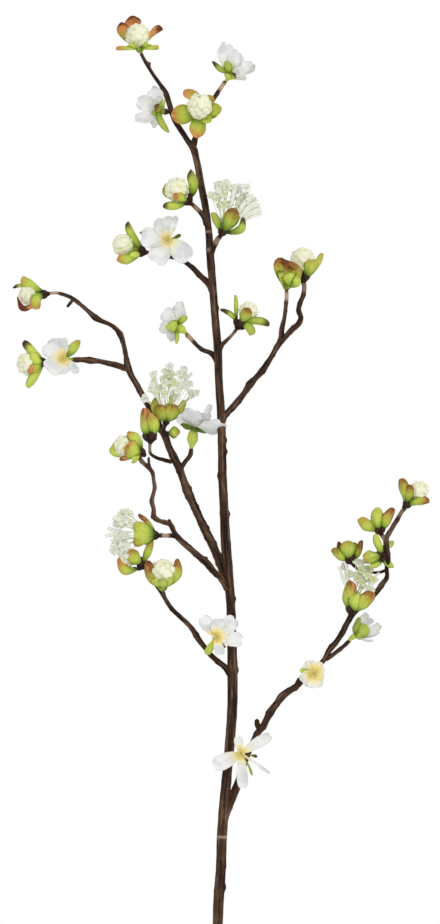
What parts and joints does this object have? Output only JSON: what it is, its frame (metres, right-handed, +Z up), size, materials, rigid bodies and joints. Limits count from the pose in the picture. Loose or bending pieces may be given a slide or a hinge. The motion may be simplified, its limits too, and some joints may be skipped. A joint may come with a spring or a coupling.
{
  "type": "cherry blossom spray in a bottle vase",
  "caption": "Tall forked spray of flowering cherry, with bare brown wood, green-bracted buds and white blossom, standing in a plain narrow-necked bottle vase.",
  "frame": {"origin": "centre of the vase's foot, on the surface that it stands on", "axes": "+Z up, +X to the right of the spray as it is looked at, +Y away from the onlooker"},
  "size_m": [0.3534, 0.1397, 1.0415],
  "materials": {
    "vase_glaze": "satin, faintly speckled grey-green glaze over an unglazed foot",
    "bark": "matt dark brown bark with greyish streaks and knots",
    "bracts": "matt yellow-green with rust-brown tips",
    "petals": "thin matt white with faint veins",
    "florets": "frothy greenish white"
  },
  "bodies": {
    "root": {"vase": "vase_glaze", "main_stem": "bark", "bud_01": "bracts", "bud_04": "bracts", "bud_05": "bracts", "bud_07": "bracts", "bud_09": "bracts", "bud_10": "bracts", "bud_12": "bracts", "bud_13": "bracts", "bud_14": "bracts", "bud_18": "bracts", "bud_19": "bracts", "bud_20": "bracts", "bud_22": "bracts", "bud_23": "bracts", "bud_29": "bracts", "bud_30": "bracts", "bud_31": "bracts", "bud_32": "bracts", "cluster_06_bracts": "bracts", "cluster_06_florets": "florets", "cluster_16_bracts": "bracts", "cluster_16_florets": "florets", "cluster_21_bracts": "bracts", "cluster_21_florets": "florets", "cluster_28_bracts": "bracts", "cluster_28_florets": "florets", "flower_02_petals": "petals", "flower_02_sepals": "bracts", "flower_03_petals": "petals", "flower_03_sepals": "bracts", "flower_08_petals": "petals", "flower_08_sepals": "bracts", "flower_11_petals": "petals", "flower_11_sepals": "bracts", "flower_15_petals": "petals", "flower_15_sepals": "bracts", "flower_17_petals": "petals", "flower_17_sepals": "bracts", "flower_24_petals": "petals", "flower_24_sepals": "bracts", "flower_25_petals": "petals", "flower_25_sepals": "bracts", "flower_26_petals": "petals", "flower_26_sepals": "bracts", "flower_27_petals": "petals", "flower_27_sepals": "bracts", "large_left_branch": "bark", "left_fork": "bark", "lower_left_branch": "bark", "lower_right_branch": "bark", "middle_left_branch": "bark", "right_branch": "bark", "right_fork": "bark", "twig_07": "bark"}
  },
  "joints": []
}
